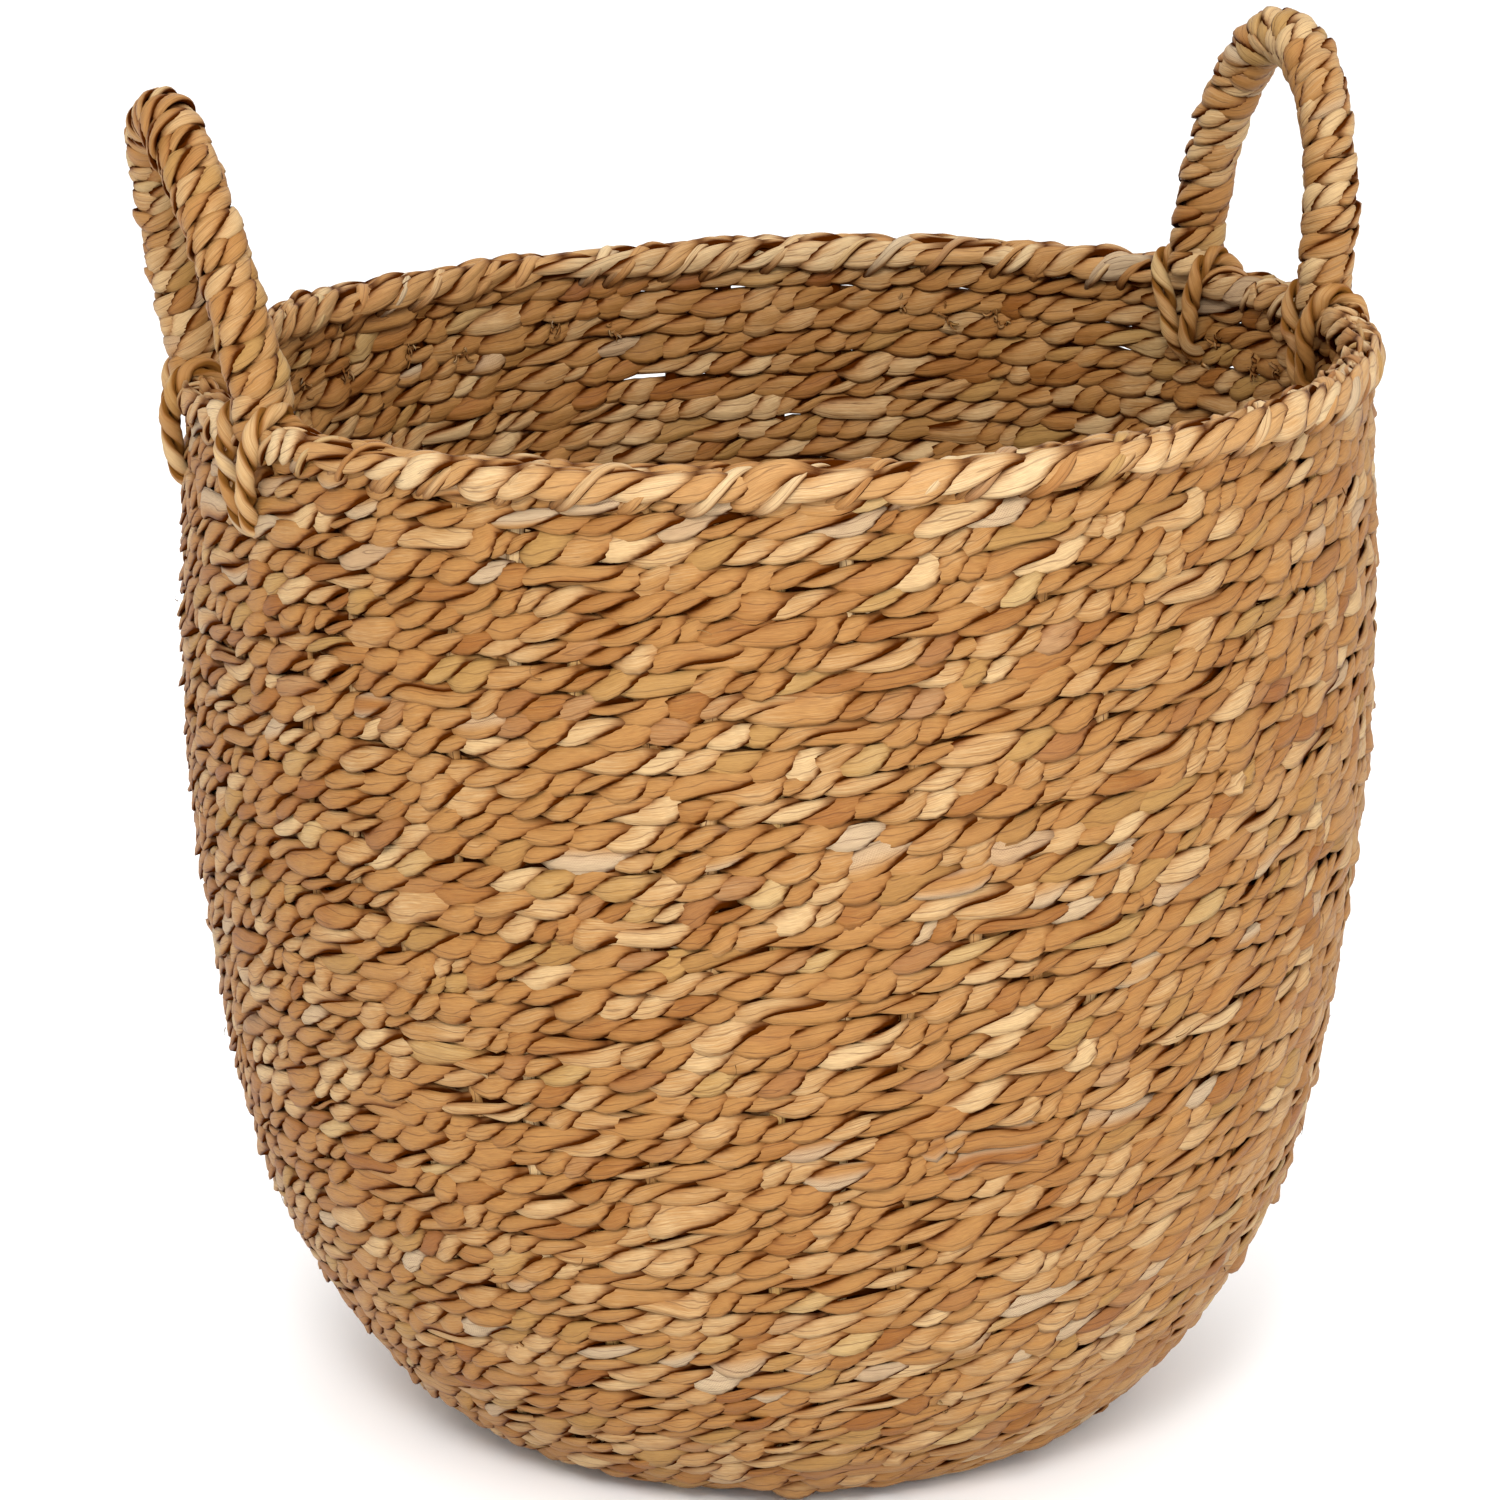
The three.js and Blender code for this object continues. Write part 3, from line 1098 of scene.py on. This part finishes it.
@dataclass
class Handle(Part):
    """A loop of cord wound round a core, lashed to the rim.

    Attributes:
        tie_finish: The material of the lashings.
        name: The start of its names in the frame.
        lean_deg: How far it leans outwards.
        crown: Height of the core's middle at the crown, above the hinge line.
        root: How far the legs reach below the hinge line.
        smoothing: Points of the path that its smoothing spans.
        bend: How far below and above the hinge line the legs bend.
        cord_lay: How the strands of the wound cord lie.
        turn_pitch: Distance between turns of the wound cord.
        turn_stitches: Its stitches in each turn.
        cord_radius: Distance from the core's middle to the wound cord's middle.
        core_lay: How the bundles of the core lie.
        core_stitch: Length of a half turn of the core.
        tie_lay: How the strands of a lashing lie.
        tie_stitch: Length of a half turn of a lashing.
        tie_offset: How far beside a leg a lashing crosses the rim.
        tie_route: A lashing's way round the border, as (depth in from the outer face, height above the
            wall's top edge) in millimetres, and its share of the offset.
        tail_size: Width and thickness of each half of a tucked end.
    """

    tie_finish: Material
    name: str
    lean_deg: float
    crown: float
    root: float = 13 * MM
    smoothing: int = 41
    bend: tuple[float, float] = (9 * MM, 7 * MM)
    cord_lay: Lay = Lay(
        1.5 * MM, 2.4 * MM, 7.8 * MM, 3.4 * MM, 2.6 * MM, lap=0.1, slant=0.18, bundles=2, spread=0.3 * MM)
    turn_pitch: float = 7.7 * MM
    turn_stitches: float = 2.6
    cord_radius: float = 6.7 * MM
    core_lay: Lay = Lay(2.1 * MM, 2.1 * MM, 4.4 * MM, 4.4 * MM, 3.6 * MM, turning=1.0, plies=3)
    core_stitch: float = 22 * MM
    tie_lay: Lay = Lay(1.75 * MM, 1.75 * MM, 5.0 * MM, 5.0 * MM, 3.4 * MM, turning=1.0, uneven=0.6)
    tie_stitch: float = 11 * MM
    tie_offset: float = 12 * MM
    tie_route: tuple[tuple[float, float, float], ...] = (
        (4.5, -30, 0.2), (-1.2, -27, 0.25), (-3.4, -18, 0.35), (-4.4, -6, 0.6), (-3.4, 3, 0.8),
        (0.6, 8.0, 0.85), (4.8, 9.2, 0.85), (9.3, 7.6, 0.85), (12.8, 1, 0.75), (12.8, -8, 0.5),
        (11.4, -20, 0.25), (4.5, -26, 0.2),
    )
    tail_size: tuple[float, float] = (6.4 * MM, 2.2 * MM)

    def __post_init__(self) -> None:
        """Works out where the handle stands and how it leans."""
        self.hinge = np.array(joint_place(f"{self.name}_tilt"))
        self.bearing = math.atan2(self.hinge[1], self.hinge[0])
        self.half_spread = math.sqrt(self.body.rim_radius ** 2 - self.hinge[0] ** 2 - self.hinge[1] ** 2)
        lean = math.radians(self.lean_deg)
        self.sideways = around(self.bearing)
        self.outward = np.cross(self.sideways, UP)
        self.rise = math.sin(lean) * self.outward + math.cos(lean) * UP
        self.axis = math.cos(lean) * self.outward - math.sin(lean) * UP

    def build(self) -> None:
        """Winds the handle and lashes it down."""
        path = self._arch(1600)
        self._wrap(path)
        self._core(path)
        foot = math.asin(self.half_spread / self.body.rim_radius)
        for end, sign in (("a", 1), ("b", -1)):
            leg = self.bearing + sign * foot
            for number, offset in ((1, -self.tie_offset), (2, self.tie_offset)):
                self._lashing(f"{self.name}_lashing_{end}_{number}", leg, offset)
            self._tail(f"{self.name}_tail_{end}", leg)

    def _arch(self, count: int) -> Array:
        """Draws the core's middle line, from root to root.

        Args:
            count: The number of points.

        Returns:
            The points, at even steps.
        """
        turn = np.linspace(0, math.pi, 400)[:, None]
        loop = self.half_spread * np.cos(turn) * self.sideways + self.crown * np.sin(turn) * self.rise
        share = np.linspace(1, 0, 20, endpoint=False)[:, None]
        legs = -self.root * share * UP - 1.5 * MM * share ** 2 * self.outward
        path = np.concatenate([loop[0] + legs, loop, (loop[-1] + legs)[::-1]])
        reach = lengths(path)
        even = np.linspace(0, reach[-1], count)
        path = np.stack([np.interp(even, reach, path[:, k]) for k in range(3)], 1)
        half = self.smoothing // 2
        padded = np.pad(path, ((half, half), (0, 0)), mode="edge")
        kernel = np.ones(self.smoothing) / self.smoothing
        smooth = np.stack([np.convolve(padded[:, k], kernel, "valid") for k in range(3)], 1)
        smooth[:half], smooth[-half:] = path[:half], path[-half:]
        return smooth + self.hinge

    def _wrap(self, path: Array) -> None:
        """Winds a twisted cord round the core.

        Args:
            path: The core's middle line.
        """
        reach = lengths(path)
        crown_share = np.sin(reach / reach[-1] * math.pi) ** 2
        pitch = self.turn_pitch * (1.04 - 0.2 * crown_share)
        turns = np.concatenate([[0], np.cumsum(np.diff(reach) / ((pitch[1:] + pitch[:-1]) / 2))])
        fine = np.linspace(0, turns[-1], int(turns[-1] * 30))
        line = np.stack([np.interp(fine, turns, path[:, k]) for k in range(3)], 1)
        first, second = across(line, self.axis)
        angle = 2 * math.pi * fine
        radial = np.cos(angle)[:, None] * first - np.sin(angle)[:, None] * second
        radius = self.cord_radius * (1 + ripple(fine * 2.3, 0.05, self.rng))
        middle = line + radius[:, None] * radial
        up = unit(np.cross(radial, unit(np.gradient(middle, axis=0))))
        mesh = FibreMesh()
        self.cord_lay.twine(mesh, self.rng, middle, radial, up, fine * self.turn_stitches, 0.12)
        piece = mesh.build(f"{self.name}_wound_cord", self.finish)
        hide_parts(f"{self.name}_wrap")
        self._hinge(piece, "handle_wrap")

    def _core(self, path: Array) -> None:
        """Makes the core of loosely twisted bundles.

        Args:
            path: The core's middle line.
        """
        line = path[::10]
        first, second = across(line, self.axis)
        mesh = FibreMesh()
        self.core_lay.twine(mesh, self.rng, line, first, second, lengths(line) / self.core_stitch, -0.15)
        piece = mesh.build(f"{self.name}_core_bundles", self.finish)
        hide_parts(f"{self.name}_core")
        self._hinge(piece, "handle_core")

    def _hinge(self, piece: Object, slot: str) -> None:
        """Bakes a handle piece's placement into its mesh.

        Args:
            piece: The piece.
            slot: Not used.
        """
        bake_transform(piece)

    def _lashing(self, node: str, leg: float, offset: float) -> None:
        """Ties a twisted cord over the border beside a leg.

        Args:
            node: The CAD node it stands for.
            leg: The leg's angle round the body.
            offset: How far beside the leg it lies, along the rim.
        """
        count = 150
        depth, height, share = curve(self.tie_route, count).T
        share = share + ripple(np.linspace(0, 6, count), 0.06, self.rng)
        angle = leg + offset * share / self.body.rim_radius
        middle = self.body.ring(angle, self.body.top_radius - depth * MM, self.body.top + height * MM)
        first, second = across(middle, around(angle))
        mesh = FibreMesh()
        self.tie_lay.twine(mesh, self.rng, middle, first, second, lengths(middle) / self.tie_stitch, 0.2)
        finish_piece(mesh.build(node.replace("lashing", "tie"), self.tie_finish), [node])

    def _tail(self, node: str, leg: float) -> None:
        """Tucks the flat end of the core into the wall.

        Args:
            node: The CAD node it stands for.
            leg: The leg's angle round the body.
        """
        low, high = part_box(node)
        mesh = FibreMesh()
        for shift in (-3.1 * MM, 3.1 * MM):
            height = np.linspace(low.z, high.z + 12 * MM, 30)
            reach = self.body.length - (self.body.top - height)
            angle = np.full_like(height, leg + shift / self.body.rim_radius)
            mesh.add(Strand(
                middle=self.body.place(angle, reach, self.body.wall_depth / 2),
                side=around(angle),
                away=self.body.outward(angle, reach),
                width=self.tail_size[0],
                thickness=self.tail_size[1],
                looks=bundle_looks(1, self.rng),
                seed=float(self.rng.random()),
                flute=0.3,
            ))
        finish_piece(mesh.build(node.replace("tail", "tucked_end"), self.finish), [node])


# ---- loose ends


class Face(Enum):
    """The wall's faces; the value is the sign of the way out of the face, inwards counting as 1."""

    INSIDE = 1
    OUTSIDE = -1


@dataclass
class LooseEnds(Part):
    """Frayed stake ends inside the rim, and tufts and stray fibres on the wall.

    Attributes:
        frayed_share: The share of stakes whose cut ends show inside.
        outer_tufts: Tufts on the outside.
        strays: Stray fibres on the outside.
    """

    frayed_share: float = 0.6
    outer_tufts: int = 12
    strays: int = 40

    def build(self) -> None:
        """Makes the tufts and the stray fibres."""
        mesh = FibreMesh()
        for k in range(self.body.stakes):
            if self.rng.random() < self.frayed_share:
                angle = (k + 0.5 + self.rng.normal(0, 0.15)) * 2 * math.pi / self.body.stakes
                reach = self.body.length - self.rng.uniform(17, 26) * MM
                self._tuft(mesh, angle, reach, 8.4 * MM, Face.INSIDE, 6)
        finish_piece(mesh.build("cut_stake_tufts", self.finish), [])
        mesh = FibreMesh()
        for _ in range(self.outer_tufts):
            angle, reach = self._spot(0.05, 0.97)
            self._tuft(mesh, angle, reach, 1.8 * MM, Face.OUTSIDE, 5)
        for _ in range(self.strays):
            angle, reach = self._spot(0.1, 1.0)
            length = self.rng.uniform(4, 9) * MM
            self._fibre(mesh, angle, reach, 0.2 * MM, Face.OUTSIDE, length, 0.45 * MM, 0.3)
        finish_piece(mesh.build("stray_fibres", self.finish), [])

    def _spot(self, lowest: float, highest: float) -> tuple[float, float]:
        """Draws an angle and a distance up the wall, between two shares of the wall's length."""
        return self.rng.uniform(0, 2 * math.pi), self.rng.uniform(lowest, highest) * self.body.length

    def _tuft(
        self, mesh: FibreMesh, angle: float, reach: float, depth: float, face: Face, count: int,
    ) -> None:
        """Makes a frayed end of many short fibres.

        Args:
            mesh: Where it goes.
            angle: Its angle round the body.
            reach: Its distance up the wall.
            depth: The depth it starts from.
            face: The face it sticks out of.
            count: The number of fibres.
        """
        for _ in range(count):
            aside, higher = self.rng.normal(0, 1.6 * MM, 2)
            length = self.rng.uniform(3, 6) * MM
            self._fibre(
                mesh, angle + aside / self.body.radius, reach + higher, depth - face.value * 1.5 * MM,
                face, length, self.rng.uniform(1.2, 2.4) * MM, 0.5)

    def _fibre(
        self, mesh: FibreMesh, angle: float, reach: float, depth: float, face: Face, length: float,
        width: float, stand: float,
    ) -> None:
        """Makes one curled fibre.

        Args:
            mesh: Where it goes.
            angle: Its angle round the body.
            reach: Its distance up the wall.
            depth: The depth it starts from.
            face: The face it sticks out of.
            length: Its length.
            width: Its width.
            stand: How far it stands off the wall, as a share of its length.
        """
        steps = np.linspace(0, 1, 7)
        way = self.rng.uniform(0, 2 * math.pi) + self.rng.normal(0, 1.6) * steps
        forth, aside = (
            np.concatenate([[0], np.cumsum(part)]) * length / 6 * 0.75
            for part in (np.cos(way[1:]), np.sin(way[1:])))
        off = np.sin(steps * math.pi * self.rng.uniform(0.45, 0.8)) * length * stand * 0.7
        angles = angle + forth / self.body.radius
        places = reach + aside
        mesh.add(Strand(
            middle=self.body.place(angles, places, depth + face.value * off),
            side=self.body.upward(angles, places),
            away=-face.value * self.body.outward(angles, places),
            width=width * (1 - 0.6 * steps),
            thickness=0.5 * width * (1 - 0.5 * steps),
            looks=bundle_looks(1, self.rng),
            seed=float(self.rng.random()),
            # Painted shade towards the root, where the fibre leaves the wall.
            crease=np.clip(0.4 + steps, 0, 1),
            flute=0.0,
        ), corners=4)


# ---- studio


@dataclass(frozen=True)
class Studio:
    """The floor, the lights and the camera.

    Attributes:
        azimuth_deg: The camera's turn round the basket.
        distance: Its distance from the basket's axis.
        rise: Its rise above the rim, as a share of the distance.
        pitch_deg: How far it looks down.
        yaw_deg: How far it looks aside from the axis.
        lens_mm: Its lens on a 36 mm sensor.
        floor_finish: The floor's finish.
        floor_half: Half the floor's side.
        sky: Strength of the even light from all round.
        lamps: Name, place, size and power of each lamp.
    """

    azimuth_deg: float = -27.0
    distance: float = 1.6
    rise: float = 0.182
    pitch_deg: float = 15.07
    yaw_deg: float = 0.33
    lens_mm: float = 119.7
    floor_finish: PlainFinish = PlainFinish("pale_floor", (0.97, 0.97, 0.97))
    floor_half: float = 40.0
    sky: float = 1.15
    lamps: tuple[tuple[str, tuple[float, float, float], float, float], ...] = (
        ("key", (-1.2, -1.9, 1.9), 0.7, 44),
        ("fill", (-0.1, -2.2, 1.4), 1.2, 18),
        ("top", (0.2, 0.6, 2.4), 1.4, 8),
    )

    def build(self, body: Body) -> None:
        """Sets up the whole studio round the basket."""
        self._camera(body)
        self._floor()
        self._lights(body)

    def _camera(self, body: Body) -> None:
        """Places the camera.

        Args:
            body: The form of the basket.
        """
        camera = add_object("camera", bpy.data.cameras.new("camera"))
        camera.data.lens = self.lens_mm
        camera.data.sensor_width = 36
        camera.data.clip_end = 50
        turn = math.radians(self.azimuth_deg)
        camera.location = (
            self.distance * math.sin(turn), -self.distance * math.cos(turn),
            body.rim_height + self.rise * self.distance)
        camera.rotation_euler = (math.radians(90 - self.pitch_deg), 0, turn + math.radians(self.yaw_deg))
        bpy.context.scene.camera = camera

    def _floor(self) -> None:
        """Lays the floor."""
        half = self.floor_half
        mesh = bpy.data.meshes.new("floor")
        corners = [(-half, -half, 0), (half, -half, 0), (half, half, 0), (-half, half, 0)]
        mesh.from_pydata(corners, [], [(0, 1, 2, 3)])
        mesh.materials.append(self.floor_finish.material())
        floor = add_object("floor", mesh)

    def _lights(self, body: Body) -> None:
        """Hangs the lights.

        Args:
            body: The form of the basket.
        """
        scene = bpy.context.scene
        scene.view_settings.view_transform = "Standard"
        world = bpy.data.worlds.new("studio")
        world.use_nodes = True
        sky = world.node_tree.nodes["Background"].inputs
        sky["Color"].default_value = (1, 1, 1, 1)
        sky["Strength"].default_value = self.sky
        scene.world = world
        target = Vector((0, 0, body.rim_height / 2))
        for name, place, size, power in self.lamps:
            lamp = add_object(name, bpy.data.lights.new(name, "AREA"))
            lamp.data.size = size
            lamp.data.energy = power
            lamp.location = place
            lamp.rotation_euler = (Vector(place) - target).to_track_quat("Z", "Y").to_euler()


def main() -> None:
    """Builds every sub-assembly in order."""
    logging.basicConfig(level=logging.INFO, format="%(message)s")
    body = Body()
    rng = np.random.default_rng(7)
    weft = SeagrassFinish("twined_seagrass").material()
    stake = SeagrassFinish("stake_seagrass", folds=0.9, streaks=0.9).material()
    border = SeagrassFinish(
        "border_seagrass", shade=(0.31, 0.125, 0.027), body=(0.44, 0.235, 0.082), light=(0.6, 0.43, 0.23),
    ).material()
    wound = SeagrassFinish("wound_seagrass").material()
    # The lashings get a softer painted shade in their folds and gaps.
    ties = SeagrassFinish("tie_seagrass", crease=(0.19, 0.075, 0.014)).material()
    Studio().build(body)
    Weave(body, rng, weft, stake).build()
    Border(body, rng, border).build()
    for name, lean_deg, crown in (("handle_left", 13.0, 80.5 * MM), ("handle_right", 6.0, 74 * MM)):
        Handle(body, rng, wound, ties, name, lean_deg, crown).build()
    LooseEnds(body, rng, stake).build()


if __name__ == "__main__":
    main()
